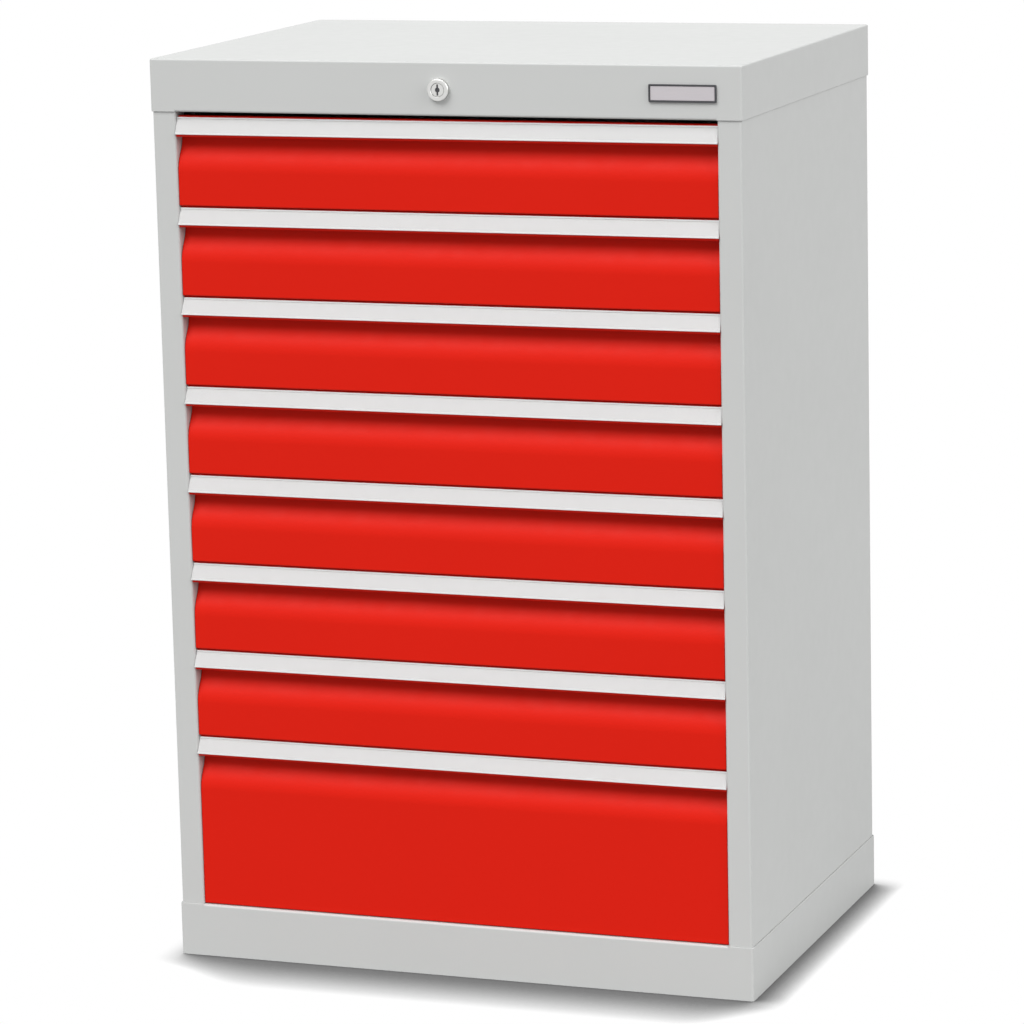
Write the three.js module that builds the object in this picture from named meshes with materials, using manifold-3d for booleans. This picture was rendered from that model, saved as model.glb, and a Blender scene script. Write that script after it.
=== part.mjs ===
// Drawer cabinet for taps and dies: a carcass of folded sheet steel, eight drawers on telescopic
// runners, grips folded into the drawer fronts, and a central lock that catches every drawer.
// Millimetres. X runs to the right, Y from the front to the back, Z up.

import * as THREE from 'three';
import { mergeVertices } from 'three/addons/utils/BufferGeometryUtils.js';
import Module from 'manifold-3d';

const wasm = await Module();
wasm.setup();

// Usable size of a drawer, which the width and the depth of the cabinet follow
const trayInnerWidth = 600;
const trayInnerDepth = 400;

// Sizes of the carcass
const headerHeight = 58;
const headerGap = 1;
const plinthHeight = 60;
const postWidth = 27;
const postPlay = 0.65;
const rearSpace = 65.55;

// Sheet work of the carcass
const sheet = 1.25;
const joinGap = 0.3;
const sheetBend = 2;
const coverCorner = 3;
const coverPress = 2;
const flangeCorner = 1;
const postReturn = 25;
const rearFlange = 22;
const headerReturn = 15;
const headerHem = 8;
const apronFold = 4;
const plinthFoot = 33;
const backSheet = 1;
const backFlange = 12;
const floorDrop = 8;

// Drawer stack: the low drawers lie over the tall ones
const lowModule = 100;
const lowCount = 7;
const tallModule = 200;
const tallCount = 1;

// Drawer fronts
const drawerSheet = 1;
const frontSideGap = 1.45;
const frontDrop = 1.4;
const frontGap = 2;
const frontBend = 1.5;
const footFlange = 36;
const endFlange = 14;
const endFlangeDrop = 4;
const gripProud = 8;
const gripSetback = 1.5;
const gripRise = 21;
const gripTopMargin = 2.2;
const gripHemStart = 0.5;
const gripHemRadius = 1.2;
const gripHemLength = 7;
const recessDepth = 15.5;
const recessFoot = 37.5;
const recessHead = 12;
const recessFootRadius = 12;
const recessHeadRadius = 20;

// Label strips
const stripThickness = 1.8;
const stripBase = 0.8;
const stripPocket = 0.5;
const stripEdge = 1;
const stripLip = 1.2;

// Drawer trays
const trayTopDrop = 22;
const trayHemRadius = 0.7;
const trayHemLength = 8;

// Telescopic runners
const slideThickness = 12.7;
const slideHeight = 46;
const slideSheet = 1.2;
const slideBend = 1.2;
const slideSetback = 30;
const slideRearGap = 25.9;
const slideLift = 30;
const runningGap = 0.35;
const ballRadius = 1.5;
const ballPlay = 0.1;
const outerLip = 9.8;
const middleWeb = 3.5;
const middleEdge = 10.6;
const innerLip = 6.4;

// Slotted uprights of the runner racks
const uprightWidth = 30;
const uprightInset = 30;
const slotPitch = 50;
const slotHeight = 14;
const slotWidth = 6;
const slotStart = 80;
const weldBite = 0.2;

// Cylinder lock
const lockDrop = 29.5;
const bezelRadius = 12.2;
const bezelProud = 5.5;
const bezelEdge = 1.6;
const lockBodyRadius = 9.5;
const lockBodyLength = 24;
const plugRadius = 7.3;
const plugRecess = 0.4;
const plugTail = 3;
const keywayHeight = 12;
const keywayWidth = 2;
const keywayDepth = 12;
const keywayEyeRadius = 2.7;
const socketSize = 6.6;
const socketDepth = 8;
const nutRadius = 14;
const nutThickness = 4.5;

// Lock shaft and its crank
const shaftRadius = 4;
const shaftTailSize = 6;
const crankThrow = 10;
const crankThickness = 4;
const crankEdge = 6;
const crankPinRadius = 3;
const crankPlay = 0.6;

// Lock bar with its hooks and guides
const barWidth = 20;
const barThickness = 3;
const barEnd = 8;
const hookWidth = 12;
const hookClearance = 2;
const hookReach = 16.5;
const hookPlay = 2.5;
const guideSheet = 1.25;
const guideHeight = 13;
const guideFoot = 14;
const guideBend = 1;
const guideGap = 3;

// Bearing bracket of the lock shaft
const bracketSheet = 2;
const bracketWidth = 32;
const bracketFlange = 24;
const bracketDrop = 12;
const bracketSetback = 26;

// Name plate
const plateWidth = 75;
const plateHeight = 19;
const plateInset = 28;
const plateCentreDrop = 29.9;
const plateBorder = 1.6;
const plateProud = 2;
const plateThickness = 1.2;

// Fineness: arcs stay this close to the true curve, and round pieces have this many sides
const facetTolerance = 0.12;
const cornerSteps = 3;
const pressSteps = 2;
const roundSides = 32;
const rodSides = 16;
const hexSides = 6;
const weldTolerance = 0.001;
const overrun = 5;

// Places that several pieces share
const stackHeight = lowCount * lowModule + tallCount * tallModule;
const headerEdge = plinthHeight + stackHeight + headerGap;
const cabinetHeight = headerEdge + headerHeight;
const standHeight = sheet + joinGap;
const standTop = cabinetHeight - sheet - joinGap;
const trayHalf = trayInnerWidth / 2 + drawerSheet;
const slideWall = trayHalf + slideThickness;
const openingHalf = slideWall - middleWeb + slideSheet / 2 + postPlay;
const frontHalf = openingHalf - frontSideGap;
const panelSide = openingHalf + postWidth;
const cabinetWidth = 2 * (panelSide + joinGap + sheet);
const panelFront = sheet + joinGap;
const recessBack = panelFront + recessDepth + drawerSheet;
const trayFront = recessBack + joinGap;
const trayBack = trayFront + trayInnerDepth + 2 * drawerSheet;
const backInner = trayBack + rearSpace;
const backOuter = backInner + backSheet;
const panelBack = backOuter + joinGap + sheet;
const cabinetDepth = panelBack + joinGap + sheet;
const slideFront = slideSetback;
const slideBack = backInner - slideRearGap;
const lockHeight = cabinetHeight - lockDrop;
const crankAngle = Math.PI / 4;
const crankSide = crankThrow * Math.cos(crankAngle);
const crankRise = crankThrow * Math.sin(crankAngle);
const barCentre = (crankThrow + crankSide) / 2;
const barBack = backInner - runningGap;
const barFront = barBack - barThickness;

// Materials
const greyPaint = paint(0xc6c8c7, 0.5);
const redPaint = paint(0xd72318, 0.42);
const zinc = metal(0xb4b8ba, 0.38);
const nickel = metal(0xd2d2ce, 0.22);
const stripWhite = paint(0xe3e2e3, 0.45);
const darkTrim = paint(0x4c4d50, 0.5);
const plateSilver = metal(0xc2bdc0, 0.4);

function paint(color, roughness) {
  return new THREE.MeshStandardMaterial({ color, roughness, metalness: 0, flatShading: true });
}

function metal(color, roughness) {
  return new THREE.MeshStandardMaterial({ color, roughness, metalness: 0.9, flatShading: true });
}

function at(a, b) {
  return new THREE.Vector2(a, b);
}

// Number of straight facets that keep an arc within the facet tolerance.
function arcSteps(radius, turn) {
  const largest = 2 * Math.acos(Math.max(1 - facetTolerance / radius, Math.SQRT1_2));
  return Math.max(Math.round(turn / largest + 1 / 4), 1);
}

// Centre line of a bent sheet: straight runs joined by an arc at each inner corner.
function bentLine(corners, radii) {
  const line = [corners[0]];
  for (let i = 1; i < corners.length - 1; i += 1) {
    const corner = corners[i];
    const toBefore = corners[i - 1].clone().sub(corner);
    const toAfter = corners[i + 1].clone().sub(corner);
    const room = Math.min(toBefore.length(), toAfter.length()) / 2;
    toBefore.normalize();
    toAfter.normalize();
    const turn = Math.PI - Math.acos(toBefore.dot(toAfter));
    const wanted = Array.isArray(radii) ? radii[i - 1] : radii;
    const radius = Math.min(wanted, room / Math.tan(turn / 2));
    const inward = toBefore.clone().add(toAfter).normalize();
    const centre = corner.clone().addScaledVector(inward, radius / Math.cos(turn / 2));
    const start = corner.clone().addScaledVector(toBefore, radius * Math.tan(turn / 2));
    const sense = Math.sign(toBefore.y * toAfter.x - toBefore.x * toAfter.y);
    const steps = arcSteps(radius, turn);
    for (let step = 0; step <= steps; step += 1) {
      const angle = sense * turn * step / steps;
      line.push(start.clone().rotateAround(centre, angle));
    }
  }
  line.push(corners[corners.length - 1]);
  return line.filter((point, i) => i === 0 || point.distanceTo(line[i - 1]) > weldTolerance);
}

// Section of a sheet: its centre line widened by half the thickness on both sides.
function sheetShape(line, thickness) {
  const near = [];
  const far = [];
  line.forEach((point, i) => {
    const before = line[Math.max(i - 1, 0)];
    const after = line[Math.min(i + 1, line.length - 1)];
    const arriving = point.clone().sub(before).normalize();
    const leaving = after.clone().sub(point).normalize();
    const along = arriving.clone().add(leaving).normalize();
    const run = i === 0 ? leaving : arriving;
    const offset = at(-along.y, along.x).multiplyScalar(thickness / 2 / along.dot(run));
    near.push(point.clone().add(offset));
    far.unshift(point.clone().sub(offset));
  });
  return new THREE.Shape([...near, ...far]);
}

function bentSheet(corners, radii, thickness) {
  return sheetShape(bentLine(corners, radii), thickness);
}

function extrude(shape, depth) {
  return new THREE.ExtrudeGeometry(shape, { depth, bevelEnabled: false });
}

// The shape is drawn in Y and Z.
function alongX(shape, from, to) {
  const turn = new THREE.Matrix4().makeBasis(
    new THREE.Vector3(0, 1, 0),
    new THREE.Vector3(0, 0, 1),
    new THREE.Vector3(1, 0, 0),
  );
  return extrude(shape, to - from).applyMatrix4(turn).translate(from, 0, 0);
}

// The shape is drawn in X and Z.
function alongY(shape, from, to) {
  return extrude(shape, to - from).rotateX(Math.PI / 2).translate(0, to, 0);
}

// The shape is drawn in X and Y.
function alongZ(shape, from, to) {
  return extrude(shape, to - from).translate(0, 0, from);
}

function block(x, y, z) {
  const box = new THREE.BoxGeometry(x[1] - x[0], y[1] - y[0], z[1] - z[0]);
  return box.translate((x[0] + x[1]) / 2, (y[0] + y[1]) / 2, (z[0] + z[1]) / 2);
}

// A round rod along Y.
function rod(radius, from, to, sides) {
  const length = to - from;
  return new THREE.CylinderGeometry(radius, radius, length, sides).translate(0, from + length / 2, 0);
}

function span(centre, width) {
  return [centre - width / 2, centre + width / 2];
}

function ascend(a, b) {
  return a - b;
}

function toSolid(geometry) {
  const bare = geometry.clone();
  bare.deleteAttribute('normal');
  bare.deleteAttribute('uv');
  const merged = mergeVertices(bare, weldTolerance);
  return new wasm.Manifold(new wasm.Mesh({
    numProp: 3,
    vertProperties: merged.getAttribute('position').array,
    triVerts: new Uint32Array(merged.getIndex().array),
  }));
}

function toGeometry(solid) {
  const { vertProperties, triVerts } = solid.getMesh();
  const geometry = new THREE.BufferGeometry();
  geometry.setAttribute('position', new THREE.BufferAttribute(vertProperties, 3));
  geometry.setIndex(new THREE.BufferAttribute(triVerts, 1));
  geometry.computeVertexNormals();
  return geometry;
}

function join(...geometries) {
  return geometries.map(toSolid).reduce((whole, solid) => whole.add(solid));
}

function cut(solid, ...tools) {
  return tools.map(toSolid).reduce((left, tool) => left.subtract(tool), solid);
}

// Closed skin through rings of equal point count, with the first and last ring filled, or joined.
function loft(rings, filled) {
  const count = rings[0].length;
  const bands = filled ? rings.length - 1 : rings.length;
  const index = [];
  for (let band = 0; band < bands; band += 1) {
    const lower = band * count;
    const upper = ((band + 1) % rings.length) * count;
    for (let i = 0; i < count; i += 1) {
      const next = (i + 1) % count;
      index.push(lower + i, lower + next, upper + next);
      index.push(lower + i, upper + next, upper + i);
    }
  }
  const last = (rings.length - 1) * count;
  for (let i = 1; filled && i < count - 1; i += 1) {
    index.push(0, i + 1, i);
    index.push(last, last + i, last + i + 1);
  }
  const geometry = new THREE.BufferGeometry();
  geometry.setFromPoints(rings.flat());
  geometry.setIndex(index);
  geometry.computeVertexNormals();
  return geometry;
}

// Rounded rectangle at one height, inset from the given plan, counter-clockwise seen from above.
function planRing(plan, inset, z) {
  const radius = Math.max(plan.corner - inset, flangeCorner);
  const x = plan.half - inset - radius;
  const front = plan.front + inset + radius;
  const back = plan.back - inset - radius;
  const centres = [at(x, back), at(-x, back), at(-x, front), at(x, front)];
  return centres.flatMap((centre, quarter) => Array.from({ length: cornerSteps + 1 }, (_, step) => {
    const angle = (quarter + step / cornerSteps) * Math.PI / 2;
    const px = centre.x + radius * Math.cos(angle);
    return new THREE.Vector3(px, centre.y + radius * Math.sin(angle), z);
  }));
}

// Pan with its open side down: a top with pressed edges and a skirt all round.
function pan(plan, wall, bottom, top) {
  const edge = Array.from({ length: pressSteps + 1 }, (_, step) => {
    const angle = step / pressSteps * Math.PI / 2;
    const inset = coverPress * (1 - Math.cos(angle));
    return planRing(plan, inset, top - coverPress * (1 - Math.sin(angle)));
  });
  const inside = [planRing(plan, wall, top - wall), planRing(plan, wall, bottom)];
  return loft([...inside, planRing(plan, 0, bottom), ...edge], true);
}

const outerPlan = { half: cabinetWidth / 2, front: 0, back: cabinetDepth, corner: coverCorner };

// Folds the edge of an apron back and away from the opening, in place of its plain edge.
function foldApron(solid, edge, turn) {
  const half = openingHalf - joinGap;
  const z = edge + turn * sheet / 2;
  const fold = edge + turn * apronFold;
  const corners = [
    at(sheet / 2, fold),
    at(sheet / 2, z),
    at(headerReturn, z),
    at(headerReturn, z + turn * headerHem),
  ];
  const levels = [fold, edge - turn * overrun].sort(ascend);
  const plainEdge = block([-half, half], [-overrun, sheet + overrun], levels);
  const folded = toSolid(alongX(bentSheet(corners, sheetBend, sheet), -half, half));
  return cut(solid, plainEdge).add(folded);
}

function topCover() {
  const cover = foldApron(toSolid(pan(outerPlan, sheet, headerEdge, cabinetHeight)), headerEdge, 1);
  const hole = rod(lockBodyRadius + joinGap, -overrun, sheet + overrun, roundSides);
  return toGeometry(cut(cover, hole.translate(0, 0, lockHeight)));
}

function plinthBase() {
  const ring = loft([
    planRing(outerPlan, 0, 0),
    planRing(outerPlan, 0, plinthHeight),
    planRing(outerPlan, sheet, plinthHeight),
    planRing(outerPlan, sheet, sheet),
    planRing(outerPlan, plinthFoot, sheet),
    planRing(outerPlan, plinthFoot, 0),
  ], false);
  return toGeometry(foldApron(toSolid(ring), plinthHeight, -1));
}

function floorPan() {
  const plan = {
    half: openingHalf - joinGap,
    front: headerReturn + sheet / 2 + joinGap,
    back: backInner - joinGap,
    corner: coverCorner,
  };
  return pan(plan, sheet, standHeight, plinthHeight - floorDrop);
}

// Side wall, front post and its return in one folded sheet, seen in plan.
function sidePanel(side) {
  const wall = side * (panelSide - sheet / 2);
  const post = side * (openingHalf + sheet / 2);
  const front = panelFront + sheet / 2;
  const back = panelBack - sheet / 2;
  const corners = [
    at(wall - side * rearFlange, back),
    at(wall, back),
    at(wall, front),
    at(post, front),
    at(post, panelFront + postReturn),
  ];
  return alongZ(bentSheet(corners, sheetBend, sheet), standHeight, standTop);
}

function backPanel() {
  const half = panelSide - sheet / 2 - sheetBend;
  const y = backOuter - backSheet / 2;
  const top = standTop - backSheet / 2;
  const corners = [at(y, standHeight), at(y, top), at(y - backFlange, top)];
  return alongX(bentSheet(corners, sheetBend, backSheet), -half, half);
}

// Runner sections are drawn from the cabinet side (u) towards the tray, about their middle (v).
function runnerSection(side, points, radii) {
  const corners = points.map(([u, v]) => at(side * (slideWall - u), v));
  return bentSheet(corners, radii, slideSheet);
}

const outerFlange = (slideHeight - slideSheet) / 2;
const raceRadius = ballRadius + ballPlay + slideSheet / 2;
const middleFlange = outerFlange - 2 * raceRadius;
const innerFlange = middleFlange - 2 * raceRadius;
const outerLipEnd = middleFlange + slideSheet / 2 + runningGap;
const innerLipEnd = middleFlange - slideSheet / 2 - runningGap;

function cabinetMember(side) {
  const web = slideSheet / 2;
  const section = runnerSection(side, [
    [outerLip, -outerLipEnd],
    [outerLip, -outerFlange],
    [web, -outerFlange],
    [web, outerFlange],
    [outerLip, outerFlange],
    [outerLip, outerLipEnd],
  ], [raceRadius, slideBend, slideBend, raceRadius]);
  return alongY(section, slideFront, slideBack);
}

function middleMember(side) {
  const section = runnerSection(side, [
    [middleEdge, -middleFlange],
    [middleWeb, -middleFlange],
    [middleWeb, middleFlange],
    [middleEdge, middleFlange],
  ], slideBend);
  return alongY(section, slideFront, slideBack);
}

function drawerMember(side) {
  const web = slideThickness - slideSheet / 2;
  const section = runnerSection(side, [
    [innerLip, -innerLipEnd],
    [innerLip, -innerFlange],
    [web, -innerFlange],
    [web, innerFlange],
    [innerLip, innerFlange],
    [innerLip, innerLipEnd],
  ], [raceRadius, slideBend, slideBend, raceRadius]);
  return alongY(section, slideFront, trayBack);
}

// Slotted upright: a channel that stands against the side wall.
function upright(side, front) {
  const face = side * (slideWall - weldBite + sheet / 2);
  const wall = side * (panelSide - sheet - joinGap);
  const back = front + uprightWidth;
  const corners = [at(wall, front), at(face, front), at(face, back), at(wall, back)];
  const slots = [];
  for (let z = plinthHeight + slotStart; z < headerEdge - slotHeight; z += slotPitch) {
    slots.push(block(span(face, 2 * sheet), span((front + back) / 2, slotWidth), span(z, slotHeight)));
  }
  const channel = alongZ(bentSheet(corners, sheetBend, sheet), standHeight, headerEdge);
  return cut(toSolid(channel), ...slots);
}

function runnerRack(side, drawers) {
  const front = upright(side, slideFront + uprightInset);
  const uprights = front.add(upright(side, slideBack - uprightInset - uprightWidth));
  const members = drawers.map((drawer) => {
    const z = drawer.base + drawer.slideHeight;
    return toSolid(cabinetMember(side).translate(0, 0, z));
  });
  return toGeometry(members.reduce((rack, member) => rack.add(member), uprights));
}

// Levels of a drawer, counted from the bottom line of its module.
function drawerLevels(module, frontBottom) {
  const frontTop = module - frontDrop;
  const trayBottom = frontBottom + drawerSheet + joinGap;
  return {
    module,
    frontBottom,
    frontTop,
    trayBottom,
    trayTop: module - trayTopDrop,
    slideHeight: trayBottom + slideLift,
    gripFoot: frontTop - gripTopMargin - gripRise,
  };
}

// The two edges of the label strip's face, and its directions up the slope and out of the face.
function gripFrame(levels) {
  const foot = at(panelFront - gripProud, levels.gripFoot);
  const head = at(panelFront + gripSetback, levels.gripFoot + gripRise);
  const upward = head.clone().sub(foot).normalize();
  return { foot, head, upward, outward: at(-upward.y, upward.x) };
}

// One sheet: foot flange, face, finger recess, top flange, slanted grip and its rolled hem.
function drawerFront(levels) {
  const grip = gripFrame(levels);
  const half = drawerSheet / 2;
  const face = panelFront + half;
  const recess = panelFront + recessDepth + half;
  const top = levels.frontTop - half;
  const bottom = levels.frontBottom + half;
  const sunk = stripThickness + joinGap + half;
  const lip = grip.foot.clone()
    .addScaledVector(grip.outward, -sunk)
    .addScaledVector(grip.upward, -gripHemStart);
  const shoulder = lip.clone().addScaledVector(grip.upward, (top - lip.y) / grip.upward.y);
  const roll = lip.clone().addScaledVector(grip.outward, -2 * gripHemRadius);
  const hemEnd = roll.clone().addScaledVector(grip.upward, gripHemLength);
  const section = bentSheet([
    at(panelFront + footFlange, bottom),
    at(face, bottom),
    at(face, levels.gripFoot - recessFoot),
    at(recess, levels.gripFoot - recessHead),
    at(recess, top),
    shoulder,
    lip,
    roll,
    hemEnd,
  ], [frontBend, recessFootRadius, recessHeadRadius, frontBend, frontBend, gripHemRadius, gripHemRadius],
  drawerSheet);
  const flangeTop = levels.gripFoot - recessFoot - endFlangeDrop;
  const ends = [-1, 1].map((side) => block(
    span(side * (frontHalf - half), drawerSheet),
    [face, panelFront + endFlange],
    [bottom, flangeTop],
  ));
  return toGeometry(join(alongX(section, -frontHalf, frontHalf), ...ends));
}

// Label channel: a base with two edges that hook over the label.
function labelStrip(levels) {
  const grip = gripFrame(levels);
  const width = grip.foot.distanceTo(grip.head);
  const pocketTop = stripBase + stripPocket;
  const lower = [
    at(0, 0),
    at(0, stripThickness),
    at(stripEdge + stripLip, stripThickness),
    at(stripEdge + stripLip, pocketTop),
    at(stripEdge, pocketTop),
    at(stripEdge, stripBase),
  ];
  const upper = lower.map((point) => at(width - point.x, point.y)).reverse();
  const place = (point) => grip.foot.clone()
    .addScaledVector(grip.upward, point.x)
    .addScaledVector(grip.outward, point.y - stripThickness);
  return alongX(new THREE.Shape([...lower, ...upper].map(place)), -frontHalf, frontHalf);
}

// Tray: two crossing channels, three of whose walls end in an outward hem.
function drawerTray(levels) {
  const half = drawerSheet / 2;
  const bottom = levels.trayBottom + half;
  const top = levels.trayTop - half;
  const wall = trayHalf - half;
  const hem = 2 * trayHemRadius;
  const hemBottom = top - trayHemLength;
  const hemBends = [trayHemRadius, trayHemRadius];
  const across = bentSheet([
    at(-wall - hem, hemBottom),
    at(-wall - hem, top),
    at(-wall, top),
    at(-wall, bottom),
    at(wall, bottom),
    at(wall, top),
    at(wall + hem, top),
    at(wall + hem, hemBottom),
  ], [...hemBends, frontBend, frontBend, ...hemBends], drawerSheet);
  const lengthwise = bentSheet([
    at(trayFront + half, levels.trayTop),
    at(trayFront + half, bottom),
    at(trayBack - half, bottom),
    at(trayBack - half, top),
    at(trayBack - half + hem, top),
    at(trayBack - half + hem, hemBottom),
  ], [frontBend, frontBend, ...hemBends], drawerSheet);
  const members = [-1, 1].map((side) => drawerMember(side).translate(0, 0, levels.slideHeight));
  return toGeometry(join(
    alongY(across, trayFront, trayBack),
    alongX(lengthwise, -trayHalf, trayHalf),
    ...members,
  ));
}

function revolve(profile) {
  return new THREE.LatheGeometry(profile, roundSides);
}

function lockHousing() {
  const bore = plugRadius + joinGap;
  return revolve([
    at(bore, -bezelProud),
    at(bezelRadius - bezelEdge, -bezelProud),
    at(bezelRadius - bezelEdge * (1 - Math.SQRT1_2), bezelEdge * (1 - Math.SQRT1_2) - bezelProud),
    at(bezelRadius, bezelEdge - bezelProud),
    at(bezelRadius, -joinGap),
    at(lockBodyRadius, -joinGap),
    at(lockBodyRadius, lockBodyLength),
    at(bore, lockBodyLength),
    at(bore, -bezelProud),
  ]);
}

function lockPlug() {
  const front = plugRecess - bezelProud;
  const back = lockBodyLength + plugTail;
  const slot = [front - overrun, front + keywayDepth];
  const socket = span(0, socketSize);
  return toGeometry(cut(
    toSolid(rod(plugRadius, front, back, roundSides)),
    block(span(0, keywayWidth), slot, span(0, keywayHeight)),
    rod(keywayEyeRadius, ...slot, rodSides),
    block(socket, [back - socketDepth, back + overrun], socket),
  ));
}

function lockNut() {
  const front = sheet + joinGap;
  const back = front + nutThickness;
  const bore = rod(lockBodyRadius + joinGap, front - overrun, back + overrun, roundSides);
  return toGeometry(cut(toSolid(rod(nutRadius, front, back, hexSides)), bore));
}

// Rod with a square tail for the plug and a crank whose pin works in the lock bar.
function lockShaft() {
  const start = lockBodyLength + plugTail;
  const crankBack = barFront - joinGap - crankPlay;
  const crankFront = crankBack - crankThickness;
  const tail = span(0, shaftTailSize);
  const arm = new THREE.Shape();
  arm.absarc(0, 0, crankEdge, Math.PI / 2, 3 * Math.PI / 2, false);
  arm.absarc(crankThrow, 0, crankEdge, -Math.PI / 2, Math.PI / 2, false);
  const web = alongY(new THREE.Shape(arm.getPoints(cornerSteps)), crankFront, crankBack);
  const pin = rod(crankPinRadius, crankBack - crankThickness / 2, barBack, rodSides);
  return toGeometry(join(
    block(tail, [start - socketDepth + joinGap, start + overrun], tail),
    rod(shaftRadius, start + joinGap, crankFront + crankThickness / 2, rodSides),
    web.rotateY(-crankAngle),
    pin.translate(crankSide, 0, crankRise),
  ));
}

function bearingBracket() {
  const y = barFront - bracketSetback;
  const top = standTop - bracketSheet / 2;
  const corners = [at(y - bracketFlange, top), at(y, top), at(y, lockHeight - bracketDrop)];
  const side = bracketWidth / 2;
  const bracket = toSolid(alongX(bentSheet(corners, sheetBend, bracketSheet), -side, side));
  const bore = rod(shaftRadius + joinGap, y - overrun, y + overrun, rodSides);
  return toGeometry(cut(bracket, bore.translate(0, 0, lockHeight)));
}

// Level of the hook tip over the bottom line of its drawer's module, with the lock open.
function hookTip(levels) {
  return levels.trayTop + hookClearance;
}

function lockHook(levels) {
  const half = barThickness / 2;
  const arm = hookTip(levels) + hookReach + half;
  const tip = trayBack - drawerSheet - hookPlay - half;
  const corners = [at(barFront + half, arm), at(tip, arm), at(tip, hookTip(levels))];
  const section = bentSheet(corners, sheetBend, barThickness);
  return alongX(section, ...span(barCentre, hookWidth));
}

function lockBar(drawers) {
  const lowest = drawers[drawers.length - 1];
  const bottom = lowest.base + hookTip(lowest) + hookReach - barEnd;
  const pinHeight = lockHeight + crankRise;
  const slotHalf = crankPinRadius + crankPlay;
  const top = pinHeight + slotHalf + barEnd;
  const strip = block(span(barCentre, barWidth), [barFront, barBack], [bottom, top]);
  const hooks = drawers.map((drawer) => lockHook(drawer).translate(0, 0, drawer.base));
  const slot = block(
    [crankSide - slotHalf, crankThrow + slotHalf],
    [barFront - overrun, barBack + overrun],
    span(pinHeight, 2 * slotHalf),
  );
  return toGeometry(cut(join(strip, ...hooks), slot));
}

// Hat-shaped clip on the back panel that the lock bar slides in, seen in plan.
function barGuide() {
  const inside = barWidth / 2 + runningGap + guideSheet / 2;
  const foot = backInner - joinGap - guideSheet / 2;
  const crown = barFront - runningGap - guideSheet / 2;
  const corners = [
    at(barCentre - inside - guideFoot, foot),
    at(barCentre - inside, foot),
    at(barCentre - inside, crown),
    at(barCentre + inside, crown),
    at(barCentre + inside, foot),
    at(barCentre + inside + guideFoot, foot),
  ];
  return alongZ(bentSheet(corners, guideBend, guideSheet), 0, guideHeight);
}

function plateHolder() {
  const frame = rectangle(plateWidth, plateHeight);
  frame.holes.push(rectangle(plateWidth - 2 * plateBorder, plateHeight - 2 * plateBorder));
  return alongY(frame, -plateProud - joinGap, -joinGap);
}

function namePlate() {
  const rim = 2 * (plateBorder + joinGap);
  const plate = rectangle(plateWidth - rim, plateHeight - rim);
  return alongY(plate, -plateThickness - joinGap, -joinGap);
}

function rectangle(width, height) {
  const x = width / 2;
  const y = height / 2;
  return new THREE.Shape([at(-x, -y), at(x, -y), at(x, y), at(-x, y)]);
}

// One entry for each drawer, from the top down, with the bottom line of its module.
function drawerStack() {
  const low = drawerLevels(lowModule, frontGap - frontDrop);
  const tall = drawerLevels(tallModule, frontGap);
  const kinds = [...Array(lowCount).fill(low), ...Array(tallCount).fill(tall)];
  let line = plinthHeight + stackHeight;
  return kinds.map((levels) => {
    line -= levels.module;
    return { ...levels, levels, base: line };
  });
}

function addMesh(parent, name, geometry, material) {
  const mesh = new THREE.Mesh(geometry, material);
  mesh.name = name;
  parent.add(mesh);
  return mesh;
}

// Geometries of one kind of drawer, which every drawer of that kind shares.
function drawerGeometries(levels) {
  return {
    tray: drawerTray(levels),
    front: drawerFront(levels),
    strip: labelStrip(levels),
    left: middleMember(-1).translate(0, 0, levels.slideHeight),
    right: middleMember(1).translate(0, 0, levels.slideHeight),
  };
}

function addDrawers(parent, drawers) {
  const shared = new Map();
  drawers.forEach((drawer, i) => {
    if (!shared.has(drawer.levels)) {
      shared.set(drawer.levels, drawerGeometries(drawer.levels));
    }
    const geometries = shared.get(drawer.levels);
    const number = i + 1;
    const group = new THREE.Group();
    group.position.z = drawer.base;
    addMesh(group, `drawer_tray_${number}`, geometries.tray, zinc);
    addMesh(group, `drawer_front_${number}`, geometries.front, redPaint);
    addMesh(group, `label_strip_${number}`, geometries.strip, stripWhite);
    addMesh(group, `runner_middle_left_${number}`, geometries.left, zinc);
    addMesh(group, `runner_middle_right_${number}`, geometries.right, zinc);
    parent.add(group);
  });
}

function addCarcass(parent, drawers) {
  addMesh(parent, 'top_cover', topCover(), greyPaint);
  addMesh(parent, 'plinth_base', plinthBase(), greyPaint);
  addMesh(parent, 'floor_pan', floorPan(), greyPaint);
  addMesh(parent, 'side_panel_left', sidePanel(-1), greyPaint);
  addMesh(parent, 'side_panel_right', sidePanel(1), greyPaint);
  addMesh(parent, 'back_panel', backPanel(), greyPaint);
  addMesh(parent, 'runner_rack_left', runnerRack(-1, drawers), zinc);
  addMesh(parent, 'runner_rack_right', runnerRack(1, drawers), zinc);
}

function addLock(parent, drawers) {
  const cylinder = new THREE.Group();
  cylinder.position.z = lockHeight;
  addMesh(cylinder, 'lock_housing', lockHousing(), nickel);
  addMesh(cylinder, 'lock_plug', lockPlug(), nickel);
  addMesh(cylinder, 'lock_nut', lockNut(), nickel);
  addMesh(cylinder, 'lock_shaft', lockShaft(), zinc);
  parent.add(cylinder);
  addMesh(parent, 'lock_shaft_bracket', bearingBracket(), zinc);
  addMesh(parent, 'lock_bar', lockBar(drawers), zinc);
  const [highest] = drawers;
  const lowest = drawers[drawers.length - 1];
  const aboveHook = hookReach + barThickness + guideGap;
  const upper = addMesh(parent, 'lock_bar_guide_upper', barGuide(), zinc);
  upper.position.z = highest.base + hookTip(highest) + aboveHook;
  const lower = addMesh(parent, 'lock_bar_guide_lower', barGuide(), zinc);
  lower.position.z = lowest.base + hookTip(lowest) + aboveHook;
}

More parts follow.
